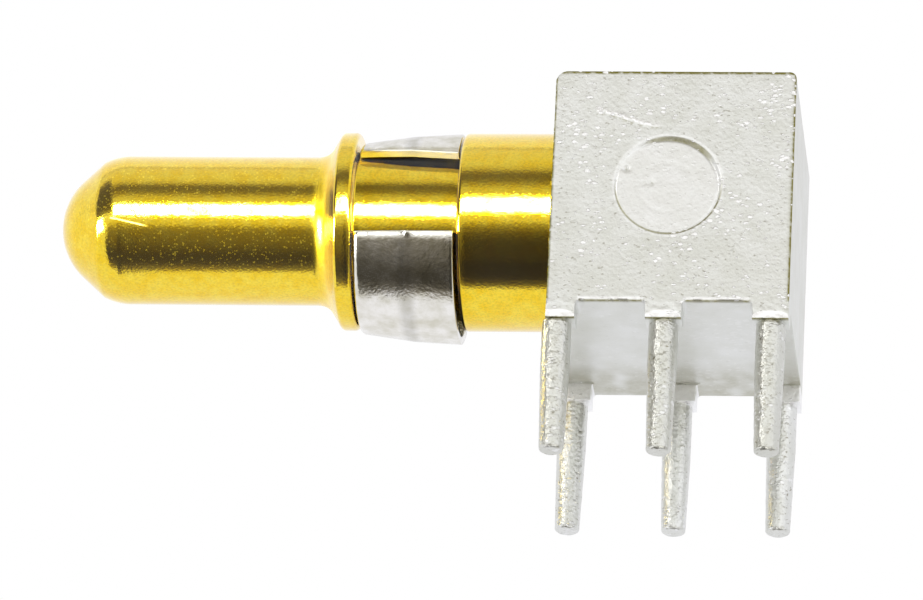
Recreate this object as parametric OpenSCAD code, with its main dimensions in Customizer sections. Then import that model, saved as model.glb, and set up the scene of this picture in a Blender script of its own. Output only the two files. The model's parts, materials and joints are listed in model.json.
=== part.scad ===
// Right-angle solder contact. A turned power pin is pressed into a cast block that
// stands on two rows of solder pins, and a spring clip sits in the groove of the pin.
// Millimetres. The origin is the middle of the solder pin grid, on the board's surface.
// +Z is up from the board, and the contact's nose points along -X.

/* [Solder pins] */
// Distance between neighbouring pins of a row
pin_pitch = 2.54; // [2:0.01:4]
// Distance between the two rows
row_pitch = 5.08; // [4.6:0.01:8]
// Pins in each row
pins_per_row = 3; // [3:1:6]
// Diameter of a pin's straight length
pin_d = 0.7; // [0.6:0.01:0.9]
// Diameter of a pin at its flat tip
pin_tip_d = 0.59; // [0.35:0.01:0.6]
// Length of a pin below the board's surface
pin_len = 3.3; // [2:0.1:6]
// Straight length of a pin, above its taper
pin_land = 1.2; // [0.5:0.1:1.6]
// Radius of the edge round a pin's tip
pin_tip_r = 0.09; // [0.02:0.01:0.15]

/* [Feet] */
// Width of a foot, along its row
foot_w = 0.86; // [0.7:0.01:1.2]
// Thickness of a foot, across the rows
foot_t = 0.73; // [0.7:0.01:1.2]
// Height of a foot, which holds the block off the board
foot_h = 0.44; // [0.3:0.01:1]
// Radius in the corner between a foot and the block
foot_fillet_r = 0.1; // [0.05:0.01:0.25]

/* [Block] */
// Height of the block above the contact's axis
head_h = 2.96; // [2.2:0.01:4]
// Distance from the first pins' axes to the face that the contact comes out of
block_lead = 0.25; // [0.1:0.01:1]
// Radius of the top edge over the contact
lead_edge_r = 0.28; // [0.05:0.01:0.5]
// Radius of the top edge at the rear
rear_edge_r = 0.16; // [0.05:0.01:0.5]

/* [Ejector mark] */
// Diameter of the pocket round the mark
mark_d = 2.56; // [1.5:0.01:3]
// Depth of the pocket
mark_depth = 0.12; // [0.05:0.01:0.3]
// Widest gap between the pocket's wall and the pad in it
mark_gap = 0.16; // [0.05:0.01:0.3]
// Narrowest gap, on the pad's high side
mark_near_gap = 0.02; // [0.01:0.01:0.05]
// Depth of the pad's middle below the block's face
mark_sink = 0.02; // [0:0.01:0.04]
// Tilt of the pad's face
mark_tilt = 2.6; // [0:0.1:3]
// Direction of the gap and of the pad's low side, up from the rear
mark_turn = 52; // [0:1:90]

/* [Contact] */
// Height of the contact's axis above the board
axis_h = 3.45; // [3:0.01:4]
// Diameter of the mating pin
contact_d = 3.6; // [3.2:0.01:4]
// Length of the mating pin, from the flange to the tip
contact_len = 6.88; // [5:0.01:12]
// Half angle of the nose cone, between the dome on the tip and the shoulder
cone_angle = 42; // [35:1:50]
// Length of the nose cone
cone_len = 0.53; // [0.2:0.01:0.8]
// Height of the round shoulder behind the nose cone
shoulder_h = 0.15; // [0.05:0.01:0.25]
// Radius of that shoulder
shoulder_r = 1.36; // [0.5:0.01:2]
// Diameter of the flange and the shank
body_d = 4.8; // [4.4:0.01:5.4]
// Thickness of the flange at its edge
flange_t = 0.4; // [0.35:0.01:1.2]
// Angle between the flange's front face and the axis
flange_angle = 60; // [45:1:80]
// Radius in the corner between mating pin and flange
root_r = 0.45; // [0.1:0.01:0.45]
// Depth of the clip's groove
groove_depth = 0.52; // [0.3:0.01:0.7]
// Length of the clip's groove
groove_len = 2.54; // [2:0.01:4]
// Length of the shank between the groove and the block
shank_len = 2.32; // [1:0.01:4]
// Radius of the turned edges on flange and shank
turned_edge_r = 0.12; // [0.03:0.01:0.15]
// Diameter of the spigot that is pressed into the block
spigot_d = 3.2; // [2.4:0.01:3.4]
// Length of that spigot
spigot_len = 4.2; // [2:0.01:4.8]
// Chamfer on the spigot's end
spigot_chamfer = 0.25; // [0.1:0.01:0.5]

/* [Retaining clip] */
// Thickness of the clip's strip
clip_t = 0.2; // [0.15:0.01:0.3]
// Radial room between the neck and the front edge of the centred clip
clip_slack = 0.22; // [0.12:0.01:0.4]
// Height that the clip flares out between its front edge and its crease
clip_flare = 0.18; // [0:0.01:0.3]
// Height that it flares out further between the crease and its rear edge
clip_rear_flare = 0.07; // [0:0.01:0.2]
// Distance from the front edge to the crease
clip_crease_at = 1.28; // [0.6:0.01:1.5]
// Radius of the rolled front edge
clip_edge_r = 0.15; // [0.05:0.01:0.2]
// Angle of the gap between the clip's two ends
clip_gap_angle = 58; // [30:1:120]
// Direction of the gap's middle, up from the side with the ejector mark
clip_gap_at = 10; // [-90:1:90]

/* [Clearances] */
// Radial gap between the spigot and its bore
press_gap = 0.02; // [0.005:0.005:0.05]
// Gap between the spigot's end and the bottom of its bore
bore_end_gap = 0.3; // [0.1:0.05:0.5]
// Gap between the clip and each end of its groove
clip_play = 0.05; // [0.03:0.01:0.3]
// Gap between the neck and the clip that hangs on it
clip_seat_gap = 0.03; // [0.01:0.01:0.1]

/* [Hidden] */
$fn = 96;

// The block and its pins
first_pin_x = -pin_pitch * (pins_per_row - 1) / 2;
last_pin_x = -first_pin_x;
lead_x = first_pin_x - block_lead;
rear_x = last_pin_x + foot_w / 2;
block_w = row_pitch + foot_t;
top_z = axis_h + head_h;

// The contact, as distances behind its tip
contact_r = contact_d / 2;
body_r = body_d / 2;
neck_r = body_r - groove_depth;
spigot_r = spigot_d / 2;
cone_end_r = contact_r - shoulder_h;
cone_start_r = cone_end_r - cone_len * tan(cone_angle);
dome_r = cone_start_r / cos(cone_angle);
cone_start = dome_r * (1 - sin(cone_angle));
cone_end = cone_start + cone_len;
nose_len = cone_end + sqrt(2 * shoulder_r * shoulder_h - shoulder_h * shoulder_h);
flange_rear = contact_len + flange_t;
shank_front = flange_rear + groove_len;
shank_rear = shank_front + shank_len;
spigot_end = shank_rear + spigot_len;
tip_x = lead_x - shank_rear;

// The clip hangs on the top of the neck
clip_len = groove_len - 2 * clip_play;
clip_front_r = neck_r + clip_slack + clip_t;
clip_crease_r = clip_front_r + clip_flare;
clip_rear_r = clip_crease_r + clip_rear_flare;
clip_drop = clip_slack - clip_seat_gap;

// Region between a corner and the arc that touches both its sides, which run along a and b.
// It reaches behind the corner too, so that it overlaps what it is added to or cut from
module corner_web(corner, a, b, r) {
    half = acos(a * b / (norm(a) * norm(b))) / 2;
    along_a = a / norm(a);
    along_b = b / norm(b);
    middle = (along_a + along_b) / norm(along_a + along_b);
    reach = r / tan(half);
    difference() {
        polygon([corner - r * middle, corner + reach * along_a, corner + reach * along_b]);
        translate(corner + r / sin(half) * middle) circle(r);
    }
}

// Turns a half section, with distance behind the tip along its Y, about the contact's axis
module turned_on_axis() {
    translate([tip_x, 0, axis_h]) rotate([0, 90, 0]) rotate_extrude() children();
}

// Extrudes an outline drawn in X and Z to a width along Y, about its middle
module cast_across(width) {
    rotate([90, 0, 0]) linear_extrude(width, center = true) children();
}

// Mating pin, with the dome, cone and round shoulder of its nose
module mating_section() {
    intersection() {
        translate([0, dome_r]) circle(dome_r);
        square([cone_start_r, dome_r]);
    }
    polygon([
        [0, cone_start],
        [cone_start_r, cone_start],
        [cone_end_r, cone_end],
        [cone_end_r, nose_len],
        [0, nose_len]
    ]);
    difference() {
        translate([0, cone_end]) square([contact_r, contact_len - cone_end]);
        difference() {
            polygon([[cone_end_r, cone_end], [contact_r, cone_end], [contact_r, nose_len]]);
            translate([contact_r - shoulder_r, nose_len]) circle(shoulder_r);
        }
    }
}

// Flange with a steep front face that runs into the mating pin
module flange_section() {
    slope = [sin(flange_angle), cos(flange_angle)];
    face_len = (body_r - contact_r) / sin(flange_angle);
    edge = [body_r, contact_len];
    root = edge - slope * face_len;
    // The root's arc leaves the flange's edge its own radius
    root_fit_r = min(root_r, face_len / tan(flange_angle / 2) - turned_edge_r);
    difference() {
        polygon([[0, root.y], root, edge, [body_r, flange_rear], [0, flange_rear]]);
        corner_web(edge, -slope, [0, 1], turned_edge_r);
        corner_web([body_r, flange_rear], [-1, 0], [0, -1], turned_edge_r);
    }
    corner_web(root, [0, -1], slope, root_fit_r);
}

// Shank and the spigot behind it
module shank_section() {
    difference() {
        translate([0, shank_front]) square([body_r, shank_len]);
        corner_web([body_r, shank_front], [-1, 0], [0, 1], turned_edge_r);
    }
    difference() {
        translate([0, shank_front]) square([spigot_r, spigot_end - shank_front]);
        polygon([
            [spigot_r, spigot_end],
            [spigot_r - spigot_chamfer, spigot_end],
            [spigot_r, spigot_end - spigot_chamfer]
        ]);
    }
}

// Gold-plated contact, turned from one bar
module contact_pin() {
    color("gold") turned_on_axis() {
        mating_section();
        flange_section();
        // The neck runs on into the flange and the shank
        translate([0, contact_len]) square([neck_r, shank_rear - contact_len]);
        shank_section();
    }
}

// Section of the clip's strip, with a rolled front edge and a crease
module clip_section() {
    difference() {
        polygon([
            [clip_front_r - clip_t, 0],
            [clip_crease_r - clip_t, clip_crease_at],
            [clip_rear_r - clip_t, clip_len],
            [clip_rear_r, clip_len],
            [clip_crease_r, clip_crease_at],
            [clip_front_r, 0]
        ]);
        corner_web([clip_front_r, 0], [-1, 0], [clip_flare, clip_crease_at], clip_edge_r);
    }
}

// Spring strip rolled into a C
module retaining_clip() {
    clip_x = tip_x + flange_rear + clip_play;
    // The strip's angles run from straight down, through the plain side, to the marked side
    lower_end = clip_gap_angle / 2 - 90 - clip_gap_at;
    color("silver") translate([clip_x, 0, axis_h - clip_drop]) rotate([0, 90, 0])
        rotate_extrude(angle = 360 - clip_gap_angle, start = lower_end) clip_section();
}

// Block seen from its marked side, with round top edges
module block_outline() {
    difference() {
        translate([lead_x, foot_h]) square([rear_x - lead_x, top_z - foot_h]);
        corner_web([lead_x, top_z], [1, 0], [0, -1], lead_edge_r);
        corner_web([rear_x, top_z], [-1, 0], [0, -1], rear_edge_r);
    }
}

// One row of feet, which reach up into the block, with round corners under it
module feet_outline() {
    intersection() {
        for (i = [0 : pins_per_row - 1])
            translate([first_pin_x + i * pin_pitch, 0]) {
                translate([-foot_w / 2, 0]) square([foot_w, 2 * foot_h]);
                for (side = [-1, 1])
                    corner_web([side * foot_w / 2, foot_h], [side, 0], [0, -1], foot_fillet_r);
            }
        translate([lead_x, 0]) square([rear_x - lead_x, 2 * foot_h]);
    }
}

// Straight land, taper and flat tip of one solder pin, pointing down from a core in its foot
module pin() {
    core_r = min(block_lead, pin_d / 2) / 2;
    taper = [(pin_tip_d - pin_d) / 2, -(pin_len - pin_land)];
    tip = [pin_tip_d / 2, -pin_len];
    rotate_extrude() difference() {
        polygon([
            [0, foot_h],
            [core_r, foot_h],
            [core_r, 0],
            [pin_d / 2, 0],
            [pin_d / 2, -pin_land],
            tip,
            [0, -pin_len]
        ]);
        corner_web(tip, -taper, [-1, 0], pin_tip_r);
    }
}

// Places the ejector mark's shapes on the marked side, with Z out of the block
module on_marked_side() {
    translate([0, -block_w / 2, axis_h]) rotate([90, 0, 0]) rotate([0, 0, mark_turn]) children();
}

// Pad in the ejector's pocket, a little off centre and tilted
module ejector_pad() {
    pad_d = mark_d - mark_gap - mark_near_gap;
    translate([(mark_near_gap - mark_gap) / 2, 0, -mark_sink]) rotate([0, mark_tilt, 0])
        translate([0, 0, -2 * mark_depth]) cylinder(d = pad_d, h = 2 * mark_depth);
}

// Tin-plated block, cast in one piece with its feet and solder pins
module solder_block() {
    rows = [-row_pitch / 2, row_pitch / 2];
    color("gainsboro") difference() {
        union() {
            difference() {
                cast_across(block_w) block_outline();
                on_marked_side() cylinder(d = mark_d, h = 2 * mark_depth, center = true);
            }
            on_marked_side() ejector_pad();
            for (y = rows) {
                translate([0, y, 0]) cast_across(foot_t) feet_outline();
                for (i = [0 : pins_per_row - 1])
                    translate([first_pin_x + i * pin_pitch, y, 0]) pin();
            }
        }
        translate([lead_x, 0, axis_h]) rotate([0, 90, 0])
            cylinder(r = spigot_r + press_gap, h = spigot_len + bore_end_gap);
    }
}

contact_pin();
retaining_clip();
solder_block();
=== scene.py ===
"""Right-angle solder contact: a gold-plated pin with a spring clip, in a tin-plated cast block.

Meshes are made in millimetres and turned to metres as they become pieces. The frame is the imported
part's: the origin on the board between the solder pins, +Z up, the contact's nose along -X and the
side with the ejector mark along -Y.
"""

import json
import math

import bmesh
import bpy
import numpy as np
from mathutils import Matrix, Vector, noise


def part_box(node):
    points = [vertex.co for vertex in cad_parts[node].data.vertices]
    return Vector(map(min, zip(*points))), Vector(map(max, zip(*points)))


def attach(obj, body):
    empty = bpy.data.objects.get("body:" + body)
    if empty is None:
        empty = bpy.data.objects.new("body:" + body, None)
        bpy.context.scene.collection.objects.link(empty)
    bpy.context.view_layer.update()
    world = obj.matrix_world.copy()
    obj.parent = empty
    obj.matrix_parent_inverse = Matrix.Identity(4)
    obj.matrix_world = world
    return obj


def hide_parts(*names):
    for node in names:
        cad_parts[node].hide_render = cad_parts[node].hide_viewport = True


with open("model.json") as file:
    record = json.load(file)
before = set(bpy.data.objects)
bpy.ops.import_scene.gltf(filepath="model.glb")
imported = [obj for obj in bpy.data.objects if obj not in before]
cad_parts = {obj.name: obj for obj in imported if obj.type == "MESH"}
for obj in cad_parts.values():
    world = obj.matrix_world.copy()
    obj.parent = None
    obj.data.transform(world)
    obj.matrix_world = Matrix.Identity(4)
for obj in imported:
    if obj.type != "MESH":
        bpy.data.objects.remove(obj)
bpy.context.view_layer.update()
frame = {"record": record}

MM = 0.001
SEED = 7

# Sizes that the frame gives, in millimetres
mounts = {m["name"]: m for m in frame["record"]["mounts"]}
contact_low, contact_high = (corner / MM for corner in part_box("contact_pin"))
clip_low, clip_high = (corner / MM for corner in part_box("retaining_clip"))
block_low, block_high = (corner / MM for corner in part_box("solder_block"))
TIP_X = contact_low.x
SPIGOT_END = contact_high.x - TIP_X
AXIS_H = mounts["mating_pin"]["pos_m"][2] / MM
CONTACT_R = mounts["mating_pin"]["dims"]["r_mm"]
BODY_R = contact_high.y
ROW_PITCH = mounts["solder_pins"]["dims"]["spacing_y_mm"]
ROW_LENGTH = mounts["solder_pins"]["dims"]["spacing_x_mm"]
PIN_R = mounts["solder_pins"]["dims"]["stud_r_mm"]
TOP_Z = block_high.z
REAR_X = block_high.x
PIN_LEN = -block_low.z

# Turned contact, as distances behind its tip
CONE_ANGLE = math.radians(42)
CONE_LEN = 0.53
SHOULDER_H = 0.15
SHOULDER_R = 1.36
CONTACT_LEN = 6.88
FLANGE_T = 0.4
FLANGE_ANGLE = math.radians(60)
ROOT_R = 0.45
GROOVE_DEPTH = 0.52
GROOVE_LEN = 2.54
SHANK_LEN = 2.32
TURNED_EDGE_R = 0.12
SPIGOT_R = 1.6
SPIGOT_CHAMFER = 0.25

# Clip
CLIP_T = 0.2
CLIP_SLACK = 0.22
CLIP_FLARE = 0.18
CLIP_REAR_FLARE = 0.07
CLIP_CREASE_AT = 1.28
CLIP_EDGE_R = 0.15
CLIP_GAP = math.radians(58)
CLIP_GAP_AT = math.radians(10)
CLIP_SEAT_GAP = 0.03

# Block
PINS_PER_ROW = 3
PIN_TIP_R = 0.295
PIN_LAND = 1.2
PIN_EDGE_R = 0.09
BLOCK_LEAD = 0.25
FOOT_W = 0.86
FOOT_T = 0.73
FOOT_H = 0.44
FOOT_FILLET_R = 0.1
LEAD_EDGE_R = 0.28
REAR_EDGE_R = 0.16
CAST_EDGE_R = 0.05
BORE_R = 1.62
BORE_LEN = 4.5
MARK_R = 1.28
MARK_DEPTH = 0.12
MARK_GAP = 0.16
MARK_NEAR_GAP = 0.02
MARK_SINK = 0.02
MARK_TILT = math.radians(2.6)
MARK_TURN = math.radians(52)

# Small edges, and unevenness of the real pieces that the solids leave out
NECK_EDGE_R = 0.05
SHANK_EDGE_R = 0.02
CREASE_BEND_R = 0.5
CLIP_INNER_EDGE_R = 0.03
CLIP_REAR_EDGE_R = 0.04
PIN_BEND_R = 0.5
PIN_CAP_H = 0.02
PIN_CAP_EDGE_R = 0.03
CLIP_END_ZONE = 0.2
CLIP_END_MOST = 0.25
CLIP_CURL = 0.95
CLIP_LEAN = 0.7
CLIP_TWIST_ZONE = 1.2
CLIP_TWIST = 0.16
CLIP_SLANT = 0.3
CLIP_CUT_R = 0.05
BURR_H = 0.05
PIN_LEAN = math.radians(0.5)
MARK_SOFT_AT = math.radians(130)
MARK_SHADE_AT = math.radians(75)
PAD_RING_R = 0.65
MARK_PITS = (  # X, height above the axis, radius and depth
    (-1.02, 0.42, 0.06, 0.06),
    (-0.56, 0.03, 0.04, 0.02),
    (-0.4, 0.05, 0.05, 0.02),
)
SCRATCH_START = np.array([-1.8, 5.38])
SCRATCH_END = np.array([-0.14, 4.96])

# Fineness of the meshes: steps round, and the longest stretch of an outline
CONTACT_STEPS, CONTACT_STRETCH = 192, 0.12
CLIP_STEPS, CLIP_STRETCH = 260, 0.06
PIN_STEPS, PIN_STRETCH = 40, 0.07

# Points this near the marked side's plane belong to it, and points below this height to the pins
FACE_ZONE = 0.03
PIN_TOP = -0.02

# Sizes worked out from these
NECK_R = BODY_R - GROOVE_DEPTH
CLIP_FRONT_R = NECK_R + CLIP_SLACK + CLIP_T
CLIP_CREASE_R = CLIP_FRONT_R + CLIP_FLARE
CLIP_REAR_R = CLIP_CREASE_R + CLIP_REAR_FLARE
FLANGE_REAR = CONTACT_LEN + FLANGE_T
SHANK_FRONT = FLANGE_REAR + GROOVE_LEN
SHANK_REAR = SHANK_FRONT + SHANK_LEN
PIN_PITCH = ROW_LENGTH / (PINS_PER_ROW - 1)
FIRST_PIN_X = -ROW_LENGTH / 2
LEAD_X = FIRST_PIN_X - BLOCK_LEAD
BLOCK_W = ROW_PITCH + FOOT_T
FACE_Y = -BLOCK_W / 2


def linear(hex_colour):
    """Linear RGBA of an sRGB hex colour."""
    channels = [int(hex_colour[i:i + 2], 16) / 255 for i in (1, 3, 5)]
    return [c / 12.92 if c <= 0.04045 else ((c + 0.055) / 1.055) ** 2.4 for c in channels] + [1.0]


def per(size_mm):
    """Texture scale, per metre, that gives a pattern of this size."""
    return 1 / (size_mm * MM)


def add(tree, kind, inputs=None, **settings):
    """Adds a node to a tree, with its settings, values and links."""
    node = tree.nodes.new(kind)
    for name, value in settings.items():
        setattr(node, name, value)
    for socket, value in (inputs or {}).items():
        if isinstance(value, bpy.types.NodeSocket):
            tree.links.new(value, node.inputs[socket])
        else:
            node.inputs[socket].default_value = value
    return node


def arc_points(centre, radius, start, end, steps):
    """Points along an arc, both ends included, with angles in radians."""
    turns = [start + (end - start) * i / steps for i in range(steps + 1)]
    return [(centre[0] + radius * math.cos(t), centre[1] + radius * math.sin(t)) for t in turns]


def rounded(corners, closed=False, steps=8):
    """Outline through corners given as (x, y, radius), with an arc in each corner that has a radius."""
    points = []
    for i, (x, y, radius) in enumerate(corners):
        here = Vector((x, y))
        if radius <= 0 or (not closed and i in (0, len(corners) - 1)):
            points.append((x, y))
            continue
        before = (Vector(corners[i - 1][:2]) - here).normalized()
        after = (Vector(corners[(i + 1) % len(corners)][:2]) - here).normalized()
        half = before.angle(after) / 2
        centre = here + (before + after).normalized() * (radius / math.sin(half))
        start = here + before * (radius / math.tan(half)) - centre
        end = here + after * (radius / math.tan(half)) - centre
        first = math.atan2(start.y, start.x)
        turn = math.remainder(math.atan2(end.y, end.x) - first, 2 * math.pi)
        points += arc_points(centre, radius, first, first + turn, steps)
    return points


def spaced(points, longest):
    """The same outline with points added, so that no stretch is longer than this."""
    result = [points[0]]
    for a, b in zip(points, points[1:]):
        parts = max(1, math.ceil(math.dist(a, b) / longest))
        way = np.array(b) - np.array(a)
        result += [tuple(np.array(a) + way * k / parts) for k in range(1, parts + 1)]
    return result


def outline_mesh(name, points, closed=False):
    """Mesh of edges along an outline in the XY plane."""
    edges = [(i, i + 1) for i in range(len(points) - 1)]
    if closed:
        edges.append((len(points) - 1, 0))
    mesh = bpy.data.meshes.new(name)
    mesh.from_pydata([(x, y, 0) for x, y in points], edges, [])
    return mesh


def placed(name, data):
    """New object in the scene with this mesh, lamp or camera."""
    thing = bpy.data.objects.new(name, data)
    bpy.context.scene.collection.objects.link(thing)
    return thing


def plain_mesh(carrier):
    """Mesh of an object after its modifiers. The object itself is removed."""
    graph = bpy.context.evaluated_depsgraph_get()
    mesh = bpy.data.meshes.new_from_object(carrier.evaluated_get(graph))
    bpy.data.objects.remove(carrier)
    return mesh


def grown(name, seed_mesh, tree, inputs):
    """Plain mesh that a geometry tree makes of a seed mesh."""
    seed = placed(name, seed_mesh)
    modifier = seed.modifiers.new(name, "NODES")
    modifier.node_group = tree
    sockets = {s.name: s.identifier for s in tree.interface.items_tree if s.in_out == "INPUT"}
    for socket, value in inputs.items():
        modifier[sockets[socket]] = value
    return plain_mesh(seed)


def new_tree(name, **sockets):
    """Geometry tree with a group input that has these sockets, and that input node."""
    tree = bpy.data.node_groups.new(name, "GeometryNodeTree")
    tree.interface.new_socket("Geometry", in_out="INPUT", socket_type="NodeSocketGeometry")
    tree.interface.new_socket("Geometry", in_out="OUTPUT", socket_type="NodeSocketGeometry")
    for socket, kind in sockets.items():
        tree.interface.new_socket(socket.replace("_", " "), in_out="INPUT", socket_type=kind)
    return tree, add(tree, "NodeGroupInput").outputs


def close_tree(tree, geometry, finish):
    """Ends a geometry tree: instances made real, smooth shading and the finish on every face."""
    real = add(tree, "GeometryNodeRealizeInstances", {"Geometry": geometry}).outputs[0]
    smooth = add(tree, "GeometryNodeSetShadeSmooth", {"Geometry": real}).outputs[0]
    painted = add(tree, "GeometryNodeSetMaterial", {"Geometry": smooth, "Material": finish}).outputs[0]
    add(tree, "NodeGroupOutput", {"Geometry": painted})
    return tree


def turned_tree():
    """Turns a half section, with the radius along X and the length along -Y, about the Z axis."""
    tree, given = new_tree("Turned on the axis", Steps="NodeSocketInt", Finish="NodeSocketMaterial")
    section = add(tree, "GeometryNodeMeshToCurve", {"Mesh": given["Geometry"]}).outputs[0]
    ring = add(tree, "GeometryNodeCurvePrimitiveCircle", {"Resolution": given["Steps"], "Radius": 1.0})
    swept = add(tree, "GeometryNodeCurveToMesh", {"Curve": ring.outputs[0], "Profile Curve": section})
    closed = add(tree, "GeometryNodeMergeByDistance", {"Geometry": swept.outputs[0], "Distance": 1e-4})
    return close_tree(tree, closed.outputs[0], given["Finish"])


def rolled_tree():
    """Rolls a strip's section along an arc about the Z axis, and closes its cut ends."""
    tree, given = new_tree(
        "Rolled strip",
        Steps="NodeSocketInt",
        Bend_radius="NodeSocketFloat",
        Lower_end="NodeSocketFloat",
        Sweep="NodeSocketFloat",
        Finish="NodeSocketMaterial",
    )
    section = add(tree, "GeometryNodeMeshToCurve", {"Mesh": given["Geometry"]}).outputs[0]
    bend = add(tree, "GeometryNodeCurveArc", {
        "Resolution": given["Steps"],
        "Radius": given["Bend radius"],
        "Start Angle": given["Lower end"],
        "Sweep Angle": given["Sweep"],
    })
    swept = add(tree, "GeometryNodeCurveToMesh", {
        "Curve": bend.outputs[0],
        "Profile Curve": section,
        "Fill Caps": True,
    })
    return close_tree(tree, swept.outputs[0], given["Finish"])


def pin_grid_tree():
    """Repeats one solder pin on the grid of the board's holes."""
    tree, given = new_tree(
        "Solder pin grid",
        Pins_per_row="NodeSocketInt",
        Row_length="NodeSocketFloat",
        Row_pitch="NodeSocketFloat",
        Lean="NodeSocketFloat",
        Finish="NodeSocketMaterial",
    )
    grid = add(tree, "GeometryNodeMeshGrid", {
        "Size X": given["Row length"],
        "Size Y": given["Row pitch"],
        "Vertices X": given["Pins per row"],
        "Vertices Y": 2,
    })
    most = add(tree, "ShaderNodeCombineXYZ", {"X": given["Lean"], "Y": given["Lean"]}).outputs[0]
    least = add(tree, "ShaderNodeVectorMath", {0: most, "Scale": -1.0}, operation="SCALE").outputs[0]
    lean = add(tree, "FunctionNodeRandomValue", {0: least, 1: most, "Seed": SEED}, data_type="FLOAT_VECTOR")
    pins = add(tree, "GeometryNodeInstanceOnPoints", {
        "Points": grid.outputs["Mesh"],
        "Instance": given["Geometry"],
        "Rotation": lean.outputs[0],
    })
    return close_tree(tree, pins.outputs[0], given["Finish"])


def piece(name, mesh, body, node):
    """Makes a mesh in metres a piece that rides on a body and stands for a node."""
    shape = placed(name, mesh)
    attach(shape, body)
    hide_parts(node)
    return shape


def opened(mesh):
    """The mesh as a shell that can be edited."""
    shell = bmesh.new()
    shell.from_mesh(mesh)
    return shell


def settled(shell, mesh):
    """Writes an edited shell back to a mesh."""
    shell.to_mesh(mesh)
    shell.free()
    return mesh


def faces_outward(mesh):
    """Merges doubles and turns every face of a closed mesh outwards."""
    shell = opened(mesh)
    bmesh.ops.remove_doubles(shell, verts=shell.verts, dist=1e-5)
    bmesh.ops.recalc_face_normals(shell, faces=shell.faces)
    settled(shell, mesh)


def points_of(mesh):
    """The mesh's points as an array."""
    flat = np.empty(len(mesh.vertices) * 3)
    mesh.vertices.foreach_get("co", flat)
    return flat.reshape(-1, 3)


def smooth_step(low, high, values):
    """0 below low, 1 above high and a soft step between."""
    t = np.clip((values - low) / (high - low), 0, 1)
    return t * t * (3 - 2 * t)


def line(off, width):
    """1 on a line and fading to 0 on both sides, for distances off it."""
    return np.exp(-(off / width) ** 2)


def skin(points, size, seed):
    """Even noise from -1 to 1 at points, for waves of this size in millimetres."""
    shift = Vector((seed, 2 * seed, 3 * seed))
    return np.array([noise.noise(Vector(p) / size + shift) for p in points])


def ramp(node, stops):
    """Sets a colour ramp's stops from (place, colour) pairs."""
    elements = node.color_ramp.elements
    while len(elements) > 1:
        elements.remove(elements[-1])
    elements[0].position, elements[0].color = stops[0]
    for place, colour in stops[1:]:
        elements.new(place).color = colour


def bare_material(name):
    """A material with an empty tree."""
    material = bpy.data.materials.new(name)
    material.use_nodes = True
    material.node_tree.nodes.clear()
    return material


def finish_tree(name):
    """A material with its tree, its shader's node and the object's coordinates."""
    material = bare_material(name)
    tree = material.node_tree
    shader = add(tree, "ShaderNodeBsdfPrincipled")
    add(tree, "ShaderNodeOutputMaterial", {"Surface": shader.outputs[0]})
    return material, tree, shader, add(tree, "ShaderNodeTexCoord").outputs["Object"]


def specks(tree, place, size, share):
    """Ragged specks, 1 inside and 0 outside, in a share of the cells of this size."""
    cells = add(tree, "ShaderNodeTexVoronoi", {"Vector": place, "Scale": per(size)}).outputs
    lot = add(tree, "ShaderNodeSeparateColor", {0: cells["Color"]})
    drawn = add(tree, "ShaderNodeMath", {0: lot.outputs[0], 1: share}, operation="ADD")
    reach = add(tree, "ShaderNodeMath", {0: drawn.outputs[0], 1: 1.5, 2: -1.5}, operation="MULTIPLY_ADD")
    edge = add(tree, "ShaderNodeTexNoise", {"Vector": place, "Scale": per(size / 2), "Detail": 2.0})
    ragged = add(tree, "ShaderNodeMapRange", {"Value": edge.outputs["Fac"], "To Min": -0.4, "To Max": 0.4})
    torn = add(tree, "ShaderNodeMath", {0: reach.outputs[0], 1: ragged.outputs[0]}, operation="ADD")
    inside = add(tree, "ShaderNodeMath", {0: torn.outputs[0], 1: cells["Distance"]}, operation="SUBTRACT")
    soft = add(tree, "ShaderNodeMapRange", {"Value": inside.outputs[0], "From Min": 0.0, "From Max": 0.2})
    return soft.outputs[0]


def pin_scratch(tree, place):
    """A fine scratch on the front of the mating pin, behind its shoulder: 1 inside and 0 outside."""
    start, end = Vector((1.38, -0.43)) * MM, Vector((2.33, -0.64)) * MM
    core, width, entry = 0.008 * MM, 0.03 * MM, 0.03 * MM
    length = end.x - start.x
    slope = (end.y - start.y) / length
    split = add(tree, "ShaderNodeSeparateXYZ", {0: place}).outputs
    along = add(tree, "ShaderNodeMath", {
        0: split["X"], 1: TIP_X * MM + start.x}, operation="SUBTRACT").outputs[0]
    height = add(tree, "ShaderNodeMath", {
        0: along, 1: slope, 2: AXIS_H * MM + start.y}, operation="MULTIPLY_ADD").outputs[0]
    off = add(tree, "ShaderNodeMath", {0: split["Z"], 1: height}, operation="SUBTRACT").outputs[0]
    off = add(tree, "ShaderNodeMath", {0: off}, operation="ABSOLUTE").outputs[0]
    shape = add(tree, "ShaderNodeMath", {0: split["Y"], 1: 0.0}, operation="LESS_THAN").outputs[0]
    for value, full, none in ((off, core, width), (along, entry, 0.0), (along, 0.8 * length, length)):
        fade = add(tree, "ShaderNodeMapRange", {
            "Value": value, "From Min": none, "From Max": full, "To Min": 0.0, "To Max": 1.0})
        shape = add(tree, "ShaderNodeMath", {0: shape, 1: fade.outputs[0]}, operation="MULTIPLY").outputs[0]
    return shape


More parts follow.
